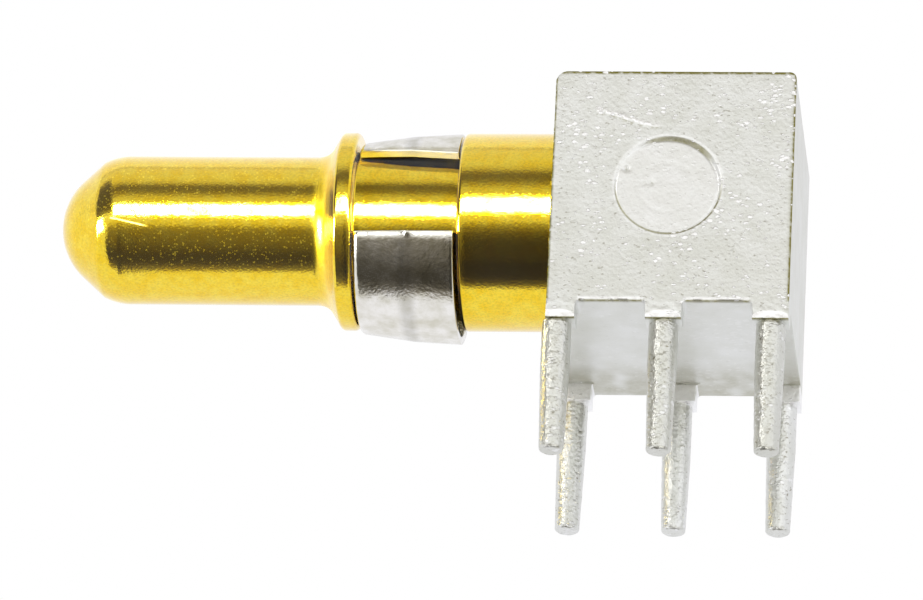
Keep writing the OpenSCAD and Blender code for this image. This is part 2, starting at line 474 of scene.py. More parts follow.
def gold_plating():
    """Bright gold plating on turned brass: a clear yellow mirror, paler at the rim, with a fine grain."""
    material, tree, shader, place = finish_tree("gold_plating")
    shader.inputs["Coat Weight"].default_value = 0.35
    shader.inputs["Coat Roughness"].default_value = 0.08
    shader.inputs["Sheen Weight"].default_value = 0.045
    shader.inputs["Sheen Roughness"].default_value = 0.52

    # The real grain and dust are finer: they are drawn as coarse as they need to be to show
    patches = add(tree, "ShaderNodeTexNoise", {"Vector": place, "Scale": per(0.3), "Detail": 3.0})
    tone = add(tree, "ShaderNodeValToRGB", {"Fac": patches.outputs["Fac"]})
    ramp(tone, [(0.36, linear("#F7D000")), (0.64, linear("#FADC34"))])
    grain = add(tree, "ShaderNodeTexNoise", {"Vector": place, "Scale": per(0.06), "Detail": 3.0})
    speckle = add(tree, "ShaderNodeMapRange", {
        "Value": grain.outputs["Fac"], "From Min": 0.3, "From Max": 0.6, "To Min": 0.84, "To Max": 1.0})
    grained = add(tree, "ShaderNodeMix", {"Factor": 1.0, "A": tone.outputs[0], "B": speckle.outputs[0]},
                  data_type="RGBA", blend_type="MULTIPLY")

    # Pale dust from handling, which thins out at the flange, and a scratch on the pin
    along = add(tree, "ShaderNodeSeparateXYZ", {0: place}).outputs["X"]
    flange_x = (TIP_X + CONTACT_LEN) * MM
    handled = add(tree, "ShaderNodeMapRange", {
        "Value": along,
        "From Min": flange_x - 0.8 * MM, "From Max": flange_x,
        "To Min": 1.0, "To Max": 0.1,
    })
    dust = add(tree, "ShaderNodeMath", {
        0: specks(tree, place, 0.05, 0.42), 1: handled.outputs[0]}, operation="MULTIPLY")
    thin = add(tree, "ShaderNodeMath", {0: dust.outputs[0], 1: 0.04}, operation="MULTIPLY")
    pale = add(tree, "ShaderNodeMath", {
        0: pin_scratch(tree, place), 1: 0.5, 2: thin.outputs[0]}, operation="MULTIPLY_ADD", use_clamp=True)
    dusted = add(tree, "ShaderNodeMix", {
        "Factor": pale.outputs[0], "A": grained.outputs["Result"], "B": linear("#E0C8A0"),
    }, data_type="RGBA")
    tree.links.new(dusted.outputs["Result"], shader.inputs["Base Color"])
    bare = add(tree, "ShaderNodeMath", {0: 1.0, 1: pale.outputs[0]}, operation="SUBTRACT")
    tree.links.new(bare.outputs[0], shader.inputs["Metallic"])

    # The fillet in front of the flange is less bright than the rest
    mirror = add(tree, "ShaderNodeMapRange", {
        "Value": grain.outputs["Fac"], "To Min": 0.08, "To Max": 0.02})
    off_root = add(tree, "ShaderNodeMath", {0: along, 1: flange_x - 0.32 * MM}, operation="SUBTRACT")
    off_root = add(tree, "ShaderNodeMath", {0: off_root.outputs[0]}, operation="ABSOLUTE")
    root = add(tree, "ShaderNodeMapRange", {
        "Value": off_root.outputs[0],
        "From Min": 0.15 * MM, "From Max": 0.35 * MM,
        "To Min": 0.24, "To Max": 0.0,
    })
    dull = add(tree, "ShaderNodeMath", {0: mirror.outputs[0], 1: root.outputs[0]}, operation="ADD")
    tree.links.new(dull.outputs[0], shader.inputs["Roughness"])
    bump = add(tree, "ShaderNodeBump", {
        "Height": grain.outputs["Fac"], "Strength": 1.0, "Distance": 3.2e-3 * MM})
    tree.links.new(bump.outputs[0], shader.inputs["Normal"])
    return material


def spring_steel():
    """Bare cold-rolled spring strip: a pale grey metal with a blurred gloss, faint stains and dull ends."""
    material, tree, shader, place = finish_tree("spring_steel")
    shader.inputs["Metallic"].default_value = 1.0
    stains = add(tree, "ShaderNodeTexNoise", {
        "Vector": place, "Scale": per(0.4), "Detail": 5.0}).outputs["Fac"]
    tone = add(tree, "ShaderNodeValToRGB", {"Fac": stains})
    ramp(tone, [(0.34, linear("#D6D3C4")), (0.66, linear("#F2F0EA"))])

    # The crease is a little darker, as painted shade, and the sheared ends are grey and dull
    along = add(tree, "ShaderNodeSeparateXYZ", {0: place}).outputs["X"]
    crease_x = (clip_low.x + CLIP_CREASE_AT) * MM
    off_crease = add(tree, "ShaderNodeMath", {0: along, 1: crease_x}, operation="SUBTRACT")
    off_crease = add(tree, "ShaderNodeMath", {0: off_crease.outputs[0]}, operation="ABSOLUTE")
    crease_shade = add(tree, "ShaderNodeMapRange", {
        "Value": off_crease.outputs[0],
        "From Min": 0.08 * MM, "From Max": 0.26 * MM,
        "To Min": 0.8, "To Max": 1.0,
    })
    crease_shaded = add(tree, "ShaderNodeMix", {"Factor": 1.0, "A": tone.outputs[0], "B": crease_shade.outputs[0]},
                  data_type="RGBA", blend_type="MULTIPLY")
    cut = add(tree, "ShaderNodeAttribute", attribute_name="cut").outputs["Fac"]
    sheared = add(tree, "ShaderNodeMath", {0: cut, 1: stains}, operation="MULTIPLY")
    base = add(tree, "ShaderNodeMix", {
        "Factor": sheared.outputs[0], "A": crease_shaded.outputs["Result"], "B": linear("#8C9080"),
    }, data_type="RGBA")
    tree.links.new(base.outputs["Result"], shader.inputs["Base Color"])
    rolled = add(tree, "ShaderNodeMapRange", {"Value": stains, "To Min": 0.1, "To Max": 0.2})
    dull = add(tree, "ShaderNodeMath", {0: cut, 1: 0.45, 2: rolled.outputs[0]}, operation="MULTIPLY_ADD")
    tree.links.new(dull.outputs[0], shader.inputs["Roughness"])
    grain = add(tree, "ShaderNodeTexNoise", {"Vector": place, "Scale": per(0.08), "Detail": 3.0})
    bump = add(tree, "ShaderNodeBump", {
        "Height": grain.outputs["Fac"], "Strength": 1.0, "Distance": 6e-3 * MM})
    tree.links.new(bump.outputs[0], shader.inputs["Normal"])
    return material


def tin_plating():
    """Matt tin plating on a zinc casting: a pale grey metal with flecks in its gritty skin, painted glints,
    and painted light and shade.
    """
    material, tree, shader, place = finish_tree("tin_plating")
    shader.inputs["Metallic"].default_value = 1.0

    # Wear is above 0 on the scratch and the pad and where light is painted, and below 0 where shade is
    # painted.
    # Grit is low on the smooth faces, 1 on the marked side and its opposite, and 1.5 on the pins.
    wear_and_painted_light = add(tree, "ShaderNodeAttribute", attribute_name="wear_and_painted_light").outputs["Fac"]
    grit = add(tree, "ShaderNodeAttribute", attribute_name="grit").outputs["Fac"]
    height = add(tree, "ShaderNodeSeparateXYZ", {0: place}).outputs["Z"]
    dull = add(tree, "ShaderNodeMapRange", {
        "Value": height, "From Min": -0.1 * MM, "From Max": 0.1 * MM, "To Min": 0.31, "To Max": 0.42})
    tree.links.new(dull.outputs[0], shader.inputs["Roughness"])
    patches = add(tree, "ShaderNodeTexNoise", {"Vector": place, "Scale": per(0.7), "Detail": 4.0})
    tone = add(tree, "ShaderNodeValToRGB", {"Fac": patches.outputs["Fac"]})
    ramp(tone, [(0.3, linear("#DDDED8")), (0.7, linear("#E7E8E5"))])

    # Dark flecks, and bright sparks in swarms as painted glints, which are few where the skin is smooth and
    # on the pins
    turned = add(tree, "ShaderNodeMapping", {
        "Vector": place, "Rotation": (0, 0.8, 0), "Scale": (0.75, 1, 1.25)}).outputs[0]
    flecks = add(tree, "ShaderNodeTexNoise", {"Vector": turned, "Scale": per(0.09), "Detail": 3.0})
    flecks = add(tree, "ShaderNodeMapRange", {
        "Value": flecks.outputs["Fac"], "From Min": 0.26, "From Max": 0.38, "To Min": 0.5, "To Max": 0.0})
    flecks = add(tree, "ShaderNodeMath", {0: flecks.outputs[0], 1: grit}, operation="MULTIPLY")
    swarms = add(tree, "ShaderNodeTexNoise", {"Vector": place, "Scale": per(1.3), "Detail": 2.0})
    swarms = add(tree, "ShaderNodeMapRange", {
        "Value": swarms.outputs["Fac"], "From Min": 0.35, "From Max": 0.65, "To Min": 0.15, "To Max": 0.55})
    fewer = add(tree, "ShaderNodeMath", {0: 2.0, 1: grit}, operation="SUBTRACT")
    plenty = add(tree, "ShaderNodeMath", {0: grit, 1: fewer.outputs[0]}, operation="MINIMUM")
    glint_specks = add(tree, "ShaderNodeMath", {
        0: specks(tree, turned, 0.1, swarms.outputs[0]), 1: plenty.outputs[0]}, operation="MULTIPLY")

    # Wear and the painted light and shade are uneven, as the grain takes them up
    grain = add(tree, "ShaderNodeTexNoise", {"Vector": place, "Scale": per(0.1), "Detail": 3.0})
    uneven = add(tree, "ShaderNodeMath", {0: grain.outputs["Fac"], 1: 0.75}, operation="ADD")
    rubbed_and_painted_light = add(tree, "ShaderNodeMath", {0: uneven.outputs[0], 1: wear_and_painted_light}, operation="MULTIPLY").outputs[0]
    painted_shade = add(tree, "ShaderNodeMath", {0: rubbed_and_painted_light, 1: -1.0}, operation="MULTIPLY", use_clamp=True)
    bright = add(tree, "ShaderNodeMath", {0: rubbed_and_painted_light, 1: glint_specks.outputs[0]},
                 operation="MAXIMUM", use_clamp=True)
    base = tone.outputs[0]
    # Dark flecks, then painted shade in olive, then wear, painted light and glints in white
    for share, colour in (
        (flecks, linear("#6E6444")),
        (painted_shade, linear("#7E783A")),
        (bright, linear("#FFFFFF")),
    ):
        base = add(tree, "ShaderNodeMix", {"Factor": share.outputs[0], "A": base, "B": colour},
                   data_type="RGBA").outputs["Result"]
    tree.links.new(base, shader.inputs["Base Color"])

    # The pins get sand on top of the grain, both coarser than the real skin's so that they show
    relief = add(tree, "ShaderNodeMath", {0: grit, 1: 0.0115 * MM}, operation="MULTIPLY")
    sand = add(tree, "ShaderNodeTexNoise", {"Vector": place, "Scale": per(0.08), "Detail": 1.0})
    coarse = add(tree, "ShaderNodeMapRange", {
        "Value": grit, "From Min": 1.0, "From Max": 1.5, "To Min": 0.0, "To Max": 0.9})
    sand = add(tree, "ShaderNodeMath", {0: sand.outputs["Fac"], 1: coarse.outputs[0]}, operation="MULTIPLY")
    rough = add(tree, "ShaderNodeMath", {0: grain.outputs["Fac"], 1: glint_specks.outputs[0]}, operation="ADD")
    rough = add(tree, "ShaderNodeMath", {0: rough.outputs[0], 1: sand.outputs[0]}, operation="ADD")
    bump = add(tree, "ShaderNodeBump", {
        "Height": rough.outputs[0], "Strength": 1.0, "Distance": relief.outputs[0]})
    tree.links.new(bump.outputs[0], shader.inputs["Normal"])
    return material


gold = gold_plating()
steel = spring_steel()
tin = tin_plating()

# Turns a piece made about Z, with its length upwards, so that its length runs along +X
ALONG_X = Matrix.Rotation(math.pi / 2, 4, "Y")


def contact_outline():
    """Half section of the contact as (radius, distance behind the tip), from tip to spigot."""
    cone_end_r = CONTACT_R - SHOULDER_H
    cone_start_r = cone_end_r - CONE_LEN * math.tan(CONE_ANGLE)
    dome_r = cone_start_r / math.cos(CONE_ANGLE)
    cone_end = dome_r * (1 - math.sin(CONE_ANGLE)) + CONE_LEN
    nose_len = cone_end + math.sqrt(2 * SHOULDER_R * SHOULDER_H - SHOULDER_H ** 2)
    dome = arc_points((0, dome_r), dome_r, -math.pi / 2, -CONE_ANGLE, 24)
    shoulder_turn = math.asin((nose_len - cone_end) / SHOULDER_R)
    shoulder = arc_points((CONTACT_R - SHOULDER_R, nose_len), SHOULDER_R, -shoulder_turn, 0, 16)
    root = CONTACT_LEN - (BODY_R - CONTACT_R) / math.tan(FLANGE_ANGLE)
    body = rounded([
        (CONTACT_R, nose_len, 0),
        (CONTACT_R, root, ROOT_R),
        (BODY_R, CONTACT_LEN, TURNED_EDGE_R),
        (BODY_R, FLANGE_REAR, TURNED_EDGE_R),
        (NECK_R, FLANGE_REAR, NECK_EDGE_R),
        (NECK_R, SHANK_FRONT, NECK_EDGE_R),
        (BODY_R, SHANK_FRONT, TURNED_EDGE_R),
        (BODY_R, SHANK_REAR, SHANK_EDGE_R),
        (SPIGOT_R, SHANK_REAR, 0),
        (SPIGOT_R, SPIGOT_END - SPIGOT_CHAMFER, 0),
        (SPIGOT_R - SPIGOT_CHAMFER, SPIGOT_END, 0),
        (0, SPIGOT_END, 0),
    ])
    return spaced(dome + shoulder + body[1:], CONTACT_STRETCH)


def gold_contact():
    """Turned contact, from its domed nose to the spigot in the block."""
    section = [(r - 1, -d) for r, d in contact_outline()]
    mesh = grown("contact", outline_mesh("contact", section), turned_tree(),
                 {"Steps": CONTACT_STEPS, "Finish": gold})
    mesh.transform(Matrix.Scale(MM, 4) @ Matrix.Translation((TIP_X, 0, AXIS_H)) @ ALONG_X)
    faces_outward(mesh)
    return piece("gold_contact", mesh, "contact", "contact_pin")


def bend_clip(mesh, length):
    """Makes a rolled strip less even: ends that curl in, a slanting upper cut, a burr and slight waves."""
    points = points_of(mesh)
    x, y, z = points.T
    radius = np.hypot(x, y)
    turn = np.arctan2(y, x)
    past_gap = np.remainder(turn + math.pi / 2 + CLIP_GAP_AT, 2 * math.pi)
    from_lower = (past_gap - CLIP_GAP / 2) * radius
    from_upper = (2 * math.pi - CLIP_GAP / 2 - past_gap) * radius
    from_end = np.minimum(from_lower, from_upper)
    near_end = np.clip(CLIP_END_ZONE - from_end, 0, CLIP_END_MOST)
    rear = z / length
    twisted = 1 - smooth_step(0, CLIP_TWIST_ZONE, from_upper)
    curl = -CLIP_CURL * near_end ** 2 - CLIP_TWIST * rear * twisted
    outside = np.interp(z, (0, CLIP_CREASE_AT, length), (CLIP_FRONT_R, CLIP_CREASE_R, CLIP_REAR_R))
    lean = CLIP_LEAN * near_end * (radius - outside + CLIP_T / 2)
    slant = CLIP_SLANT * (rear - 1) * twisted
    turn = turn + (np.where(from_upper < from_lower, lean, -lean) + slant) / radius
    burr = BURR_H * line(z - CLIP_CREASE_AT - 0.05, 0.07) * (1 - smooth_step(0.02, 0.16, from_lower))
    waves = 0.006 * skin(points, 0.9, 2) + 0.003 * skin(points, 0.3, 4)
    cut = 1 - smooth_step(0.01, 0.04, from_end)
    mesh.attributes.new("cut", "FLOAT", "POINT").data.foreach_set("value", cut)
    radius = radius + curl + burr + waves
    bent = np.column_stack((radius * np.cos(turn), radius * np.sin(turn), z))
    mesh.vertices.foreach_set("co", bent.ravel())


def round_ends(mesh):
    """Rounds the edges of the two cut ends, which are the strip's largest faces."""
    shell = opened(mesh)
    caps = sorted(shell.faces, key=lambda face: face.calc_area())[-2:]
    edges = list({edge for cap in caps for edge in cap.edges})
    bmesh.ops.bevel(shell, geom=edges, offset=CLIP_CUT_R, segments=3, profile=0.5, affect="EDGES",
                    clamp_overlap=True)
    settled(shell, mesh)


def spring_clip():
    """Strip rolled into a C, with a rolled front edge, a crease and a flared rear edge."""
    length = clip_high.x - clip_low.x
    bend_r = CLIP_CREASE_R - CLIP_T / 2
    section = rounded([
        (CLIP_FRONT_R - CLIP_T, 0, CLIP_INNER_EDGE_R),
        (CLIP_CREASE_R - CLIP_T, CLIP_CREASE_AT, CREASE_BEND_R),
        (CLIP_REAR_R - CLIP_T, length, CLIP_INNER_EDGE_R),
        (CLIP_REAR_R, length, CLIP_REAR_EDGE_R),
        (CLIP_CREASE_R, CLIP_CREASE_AT, CREASE_BEND_R),
        (CLIP_FRONT_R, 0, CLIP_EDGE_R),
    ], closed=True)
    section = spaced(section + section[:1], CLIP_STRETCH)[:-1]
    seed = outline_mesh("clip", [(r - bend_r, -d) for r, d in section], closed=True)
    mesh = grown("clip", seed, rolled_tree(), {
        "Steps": CLIP_STEPS,
        "Bend radius": bend_r,
        "Lower end": CLIP_GAP / 2 - math.pi / 2 - CLIP_GAP_AT,
        "Sweep": 2 * math.pi - CLIP_GAP,
        "Finish": steel,
    })
    bend_clip(mesh, length)
    round_ends(mesh)
    hang = AXIS_H - CLIP_SLACK + CLIP_SEAT_GAP
    mesh.transform(Matrix.Scale(MM, 4) @ Matrix.Translation((clip_low.x, 0, hang)) @ ALONG_X)
    faces_outward(mesh)
    return piece("spring_clip", mesh, "clip", "retaining_clip")


def bore_cutter():
    """Cylinder that leaves the bore for the contact's spigot, and stands out in front of the block."""
    ahead = 1.0
    shell = bmesh.new()
    place = Matrix.Translation((LEAD_X + (BORE_LEN - ahead) / 2, 0, AXIS_H)) @ ALONG_X
    bmesh.ops.create_cone(shell, cap_ends=True, segments=64, radius1=BORE_R, radius2=BORE_R,
                          depth=BORE_LEN + ahead, matrix=place)
    return placed("bore", settled(shell, bpy.data.meshes.new("bore")))


def solder_pins():
    """Two rows of tapered pins, each with a core that reaches up into its foot."""
    core_r = PIN_R / 3
    outline = rounded([
        (0, -PIN_LEN, 0),
        (PIN_TIP_R, -PIN_LEN, PIN_EDGE_R),
        (PIN_R, -PIN_LAND, PIN_BEND_R),
        (PIN_R, PIN_CAP_H, PIN_CAP_EDGE_R),
        (core_r, PIN_CAP_H, 0),
        (core_r, FOOT_H / 2, 0),
        (0, FOOT_H / 2, 0),
    ], steps=5)
    outline = spaced(outline, PIN_STRETCH)
    one = grown("pin", outline_mesh("pin", [(r - 1, -z) for r, z in outline]), turned_tree(),
                {"Steps": PIN_STEPS, "Finish": tin})
    return grown("pins", one, pin_grid_tree(), {
        "Pins per row": PINS_PER_ROW,
        "Row length": ROW_LENGTH,
        "Row pitch": ROW_PITCH,
        "Lean": PIN_LEAN,
        "Finish": tin,
    })


def foot_outlines():
    """Each foot of a row in X and Z, from top left to top right, with round corners at the block."""
    outlines = []
    low = FOOT_H - FOOT_FILLET_R
    for i in range(PINS_PER_ROW):
        left = FIRST_PIN_X + i * PIN_PITCH - FOOT_W / 2
        right = left + FOOT_W
        left_side = arc_points((left - FOOT_FILLET_R, low), FOOT_FILLET_R, math.pi / 2, 0, 5)
        right_side = arc_points((right + FOOT_FILLET_R, low), FOOT_FILLET_R, math.pi, math.pi / 2, 5)
        if i == 0:
            left, left_side = LEAD_X, [(LEAD_X, FOOT_H)]
        if i == PINS_PER_ROW - 1:
            right, right_side = REAR_X, [(REAR_X, FOOT_H)]
        outlines.append(left_side + [(left, 0), (right, 0)] + right_side)
    return outlines


def walls(shell, near, far, closed):
    """Adds the faces between two rings of points."""
    for i in range(len(near) if closed else len(near) - 1):
        j = (i + 1) % len(near)
        shell.faces.new((near[i], near[j], far[j], far[i]))


def block_body():
    """Closed block with its two rows of feet and slightly broken edges."""
    shell = bmesh.new()
    shared = {}

    def ring(outline, y):
        """Points of an outline at this Y, which the faces that meet there share."""
        places = [(round(x, 5), round(y, 5), round(z, 5)) for x, z in outline]
        for place in places:
            if place not in shared:
                shared[place] = shell.verts.new(place)
        return [shared[place] for place in places]

    feet = foot_outlines()
    upper = rounded([
        (REAR_X, FOOT_H, 0),
        (REAR_X, TOP_Z, REAR_EDGE_R),
        (LEAD_X, TOP_Z, LEAD_EDGE_R),
        (LEAD_X, FOOT_H, 0),
    ])
    whole = sum(feet, []) + upper[1:-1]
    inner = FACE_Y + FOOT_T
    for side in (1, -1):
        face = ring(whole, side * FACE_Y)
        shell.faces.new(face)
        walls(shell, face, ring(whole, side * inner), True)
        for foot in feet:
            shell.faces.new(ring(foot, side * inner))
    walls(shell, ring(upper, inner), ring(upper, -inner), False)
    under = [end for foot in feet for end in (foot[0], foot[-1])]
    shell.faces.new(ring(under, inner) + ring(under, -inner)[::-1])
    bmesh.ops.recalc_face_normals(shell, faces=shell.faces)
    sharp = [edge for edge in shell.edges if edge.calc_face_angle(0) > math.radians(30)]
    bmesh.ops.bevel(shell, geom=sharp, offset=CAST_EDGE_R, segments=3, profile=0.5, affect="EDGES",
                    clamp_overlap=True)
    return settled(shell, bpy.data.meshes.new("block"))


def block_shell():
    """Block with its bore, feet and pins, cut into a fine grid for the marks in its skin."""
    cutter = bore_cutter()
    block = placed("block", block_body())
    bore = block.modifiers.new("bore", "BOOLEAN")
    bore.operation, bore.object, bore.solver = "DIFFERENCE", cutter, "EXACT"
    shell = opened(plain_mesh(block))
    bpy.data.objects.remove(cutter)
    for axis, low, high, step in (
        ("X", LEAD_X, REAR_X, 0.06),
        ("Y", FACE_Y, -FACE_Y, 0.15),
        ("Z", FOOT_H, TOP_Z, 0.06),
        ("Z", 0, FOOT_H, 0.03),
    ):
        normal = Vector([axis == name for name in "XYZ"])
        for place in np.arange(low + step, high, step):
            whole = shell.verts[:] + shell.edges[:] + shell.faces[:]
            bmesh.ops.bisect_plane(shell, geom=whole, dist=1e-4, plane_co=normal * place, plane_no=normal)
    shell.from_mesh(solder_pins())
    for face in shell.faces:
        face.smooth = True
    bmesh.ops.recalc_face_normals(shell, faces=shell.faces)
    return settled(shell, bpy.data.meshes.new("casting"))


def mark_places(points):
    """Distances from the ejector mark's middle and from its pad's, and the place along the pad's slope."""
    x, z = points[:, 0], points[:, 2] - AXIS_H
    slope = x * math.cos(MARK_TURN) + z * math.sin(MARK_TURN)
    pad_at = (MARK_NEAR_GAP - MARK_GAP) / 2
    off_pad = np.hypot(x - pad_at * math.cos(MARK_TURN), z - pad_at * math.sin(MARK_TURN))
    return np.hypot(x, z), off_pad, slope - pad_at


def scratch_places(points):
    """Distance from the scratch above the mark, and the place along it from 0 to 1."""
    way = SCRATCH_END - SCRATCH_START
    flat = points[:, [0, 2]] - SCRATCH_START
    along = flat @ way / (way @ way)
    off = (flat[:, 1] * way[0] - flat[:, 0] * way[1]) / np.hypot(*way)
    return off, along


def refined(mesh):
    """Splits the faces of the marked side finer, where the ejector mark and the scratch need it."""
    points = points_of(mesh)
    off_mark = mark_places(points)[0]
    off_scratch, along = scratch_places(points)
    ring = np.abs(off_mark - MARK_R + 0.06) < 0.22
    scratch = (np.abs(off_scratch) < 0.12) & (along > -0.05) & (along < 1.05)
    fine = (points[:, 1] < FACE_Y + FACE_ZONE) & (ring | scratch)
    shell = opened(mesh)
    edges = [e for e in shell.edges if fine[e.verts[0].index] and fine[e.verts[1].index]]
    bmesh.ops.subdivide_edges(shell, edges=edges, cuts=2, use_grid_fill=True)
    settled(shell, mesh)


def marked_side(points):
    """Depth, wear with painted light and shade, and grit of the marked side: the ejector mark with its pad
    and pits, and the scratch.
    """
    x, z = points[:, 0], points[:, 2] - AXIS_H
    off_mark, off_pad, slope = mark_places(points)
    around = np.arctan2(z, x)

    # The pocket's wall is soft on the wide side of the gap round the pad, and at the upper left
    wide_side = smooth_step(-0.1, 0.9, np.cos(around - MARK_TURN))
    soft_side = smooth_step(0.7, 0.97, np.cos(around - MARK_SOFT_AT))
    wall_run = 0.04 + 0.1 * np.maximum(wide_side, soft_side)
    wall_top = MARK_R + 0.01
    pocket = 1 - smooth_step(wall_top - wall_run, wall_top, off_mark)
    wall = MARK_DEPTH * (0.3 + 0.25 * wide_side)
    pad_r = MARK_R - (MARK_GAP + MARK_NEAR_GAP) / 2
    pad = 1 - smooth_step(pad_r, pad_r + 0.04, off_pad)
    pad_low = MARK_SINK + 0.6 * math.tan(MARK_TILT) * slope
    pad_low = pad_low + 0.006 * line(off_pad - PAD_RING_R, 0.03)
    depth = pocket * (pad * pad_low + (1 - pad) * wall)
    pits = 0
    for pit_x, pit_z, radius, low in MARK_PITS:
        pit = line(np.hypot(x - pit_x, z - pit_z), radius)
        depth += low * pit
        # Each pit is also darkened as painted shade
        pits = pits + 0.6 * pit ** 3

    # The scratch is a broken ridge with a painted shadow line below it
    off, along = scratch_places(points)
    off = off - 0.03 * np.sin(7 * along)
    broken = np.clip(0.5 + 1.4 * skin(points, 0.08, 5), 0, 1) * smooth_step(0, 0.05, along)
    ridge = broken * line(off, 0.045) * (1 - smooth_step(0.75, 1, along))
    shade = broken * line(off + 0.07, 0.03) * (1 - smooth_step(0.9, 1, along))

    # Painted light in the gap round the pad, painted shade in the top of the gap and along the lower rim,
    # and a painted highlight along the outer rim
    gap = (1 - pad) * (1 - smooth_step(MARK_R - 0.04, MARK_R, off_mark))
    gap_top = smooth_step(0.55, 0.9, np.cos(around - MARK_SHADE_AT))
    rim = line(off_mark - MARK_R - 0.03, 0.03)
    low_rim = line(off_mark - MARK_R + 0.01, 0.03) * (1 - smooth_step(-0.6, 0.4, z))
    rubbed_and_painted_light = 1.5 * ridge + 0.4 * rim + 0.3 * pad + 0.35 * gap
    painted_shade = 0.5 * shade + 0.9 * gap_top * gap + 0.85 * low_rim + pits
    return depth - 0.012 * ridge, rubbed_and_painted_light - painted_shade, 1 - 0.4 * pad


def painted_light_and_shade(points):
    """Painted light and shade of the casting: highlights along the feet; shade in lines, at edges, under
    the rear, on the pins and low on the faces; light on the back feet.
    """
    x, y, z = points.T
    front = 1 - smooth_step(0.02, 0.09, np.abs(y - FACE_Y))
    half_foot = FOOT_W / 2
    from_foot = np.abs(np.remainder(x - FIRST_PIN_X + PIN_PITCH / 2, PIN_PITCH) - PIN_PITCH / 2)
    gap = smooth_step(half_foot + 0.04, half_foot + 0.12, from_foot)
    # A painted highlight along each foot's rounded lower front edge, and one along the block's lower front
    # edge between the feet
    bulge = 0.14 * np.sqrt(np.clip(1 - (from_foot / half_foot) ** 2, 0, 1))
    foot_highlight = smooth_step(0.02, 0.04, z) * (1 - smooth_step(0.05 + bulge, 0.08 + bulge, z))
    lip = gap * line(z - FOOT_H - 0.045, 0.03)
    # Painted shade: thin lines at the foot bottoms and under the lower edge between the feet, and patches
    # along the top, rear and lead edges of the marked side
    shade_lines = line(z, 0.02) + gap * line(z - FOOT_H, 0.012)
    top = smooth_step(TOP_Z - 0.07, TOP_Z - 0.03, z)
    rear = smooth_step(REAR_X - 0.07, REAR_X - 0.03, x)
    lead = smooth_step(-LEAD_X - 0.05, -LEAD_X - 0.02, -x)
    patchy = np.clip(0.85 + 0.8 * skin(points, 0.1, 9), 0.2, 1)
    dark = np.clip(top + rear + lead, 0, 1) * (z > FOOT_H) * patchy
    edges = front * (z > -0.05) * (foot_highlight + lip - 0.8 * shade_lines - dark)
    # Painted shade in patches on the rear part of the underside
    under = np.abs(z - FOOT_H) < 0.03
    underside_shade = 0.3 * smooth_step(0.7, 2.1, y) * under * np.clip(0.8 + skin(points, 0.4, 13), 0, 1)
    # Painted shade on the pins, most on the front row
    pins = np.where(y < 0, -0.14, -0.02) * (z < PIN_TOP)
    # Painted light on the back feet
    back_feet_light = 0.6 * (y > ROW_PITCH / 4) * (z > PIN_TOP) * (z < FOOT_H - 0.02)
    # Painted shade low on the marked side, and on the rear face
    dull = 0.05 * front * (1 - smooth_step(1.0, 4.0, z)) * (z > FOOT_H) + 0.07 * (x > REAR_X - 0.01)
    return edges + pins + back_feet_light - underside_shade - dull


def ragged_edges(points):
    """How far the edges of the marked side, the feet and the pins are torn, as by a die's parting line."""
    x, y, z = points.T
    front = 1 - smooth_step(0.05, 0.15, np.abs(y - FACE_Y))
    lead = smooth_step(-LEAD_X - 0.12, -LEAD_X - 0.02, -x)
    low = 1 - smooth_step(FOOT_H, FOOT_H + 0.12, z)
    return np.clip(front * np.maximum(lead, low), 0, 1) + 0.6 * (z < PIN_TOP)


def cast_block():
    """Tin-plated casting with its ejector mark, its scratch and a slightly uneven skin."""
    mesh = block_shell()
    refined(mesh)
    points = points_of(mesh)
    normals = np.empty(len(points) * 3)
    mesh.vertices.foreach_get("normal", normals)
    normals = normals.reshape(-1, 3)
    wear_and_painted_light = painted_light_and_shade(points)
    facing = points[:, 1] < FACE_Y + FACE_ZONE
    pins = points[:, 2] < PIN_TOP
    grit = 0.15 + 0.85 * smooth_step(0.5, 0.8, np.abs(normals[:, 1])) * ~pins + 1.35 * pins
    depth, mark_wear_and_light, mark_grit = marked_side(points[facing])
    points[facing, 1] += depth
    wear_and_painted_light[facing] += mark_wear_and_light
    grit[facing] *= mark_grit
    uneven = 0.003 * skin(points, 0.22, 3) + 0.014 * ragged_edges(points) * skin(points, 0.13, 11)
    points += normals * uneven[:, None]
    mesh.vertices.foreach_set("co", points.ravel())
    for name, values in (("wear_and_painted_light", wear_and_painted_light), ("grit", grit)):
        mesh.attributes.new(name, "FLOAT", "POINT").data.foreach_set("value", values)
    mesh.transform(Matrix.Scale(MM, 4))
    mesh.materials.clear()
    mesh.materials.append(tin)
    return piece("cast_block", mesh, "contact", "solder_block")


# Pieces that share lamps
gold_only = bpy.data.collections.new("gold")
gold_and_steel = bpy.data.collections.new("gold and steel")
tin_only = bpy.data.collections.new("tin")
gold_only.objects.link(gold_contact())
gold_and_steel.children.link(gold_only)
gold_and_steel.objects.link(spring_clip())
tin_only.objects.link(cast_block())


def stage_object(name, mesh, material):
    """Adds a thing of the studio, which isn't part of the object."""
    mesh.materials.append(material)
    thing = placed(name, mesh)
    return thing


def floor():
    """Plain pale floor, far enough below for a camera that looks up, and as white as the surroundings."""
    size = 4.0
    height = -0.25
    lift = 0.27
    mesh = bpy.data.meshes.new("floor")
    corners = [(-size, -size), (size, -size), (size, size), (-size, size)]
    mesh.from_pydata([(x, y, height) for x, y in corners], [], [(0, 1, 2, 3)])
    material, tree, shader = finish_tree("pale_floor")[:3]
    shader.inputs["Base Color"].default_value = linear("#F4F4F2")
    shader.inputs["Roughness"].default_value = 0.9
    shader.inputs["Emission Color"].default_value = (1, 1, 1, 1)
    seen = add(tree, "ShaderNodeLightPath").outputs["Is Camera Ray"]
    glow = add(tree, "ShaderNodeMath", {0: seen, 1: lift}, operation="MULTIPLY")
    tree.links.new(glow.outputs[0], shader.inputs["Emission Strength"])
    ground = stage_object("floor", mesh, material)
    ground.visible_glossy = False
    return ground


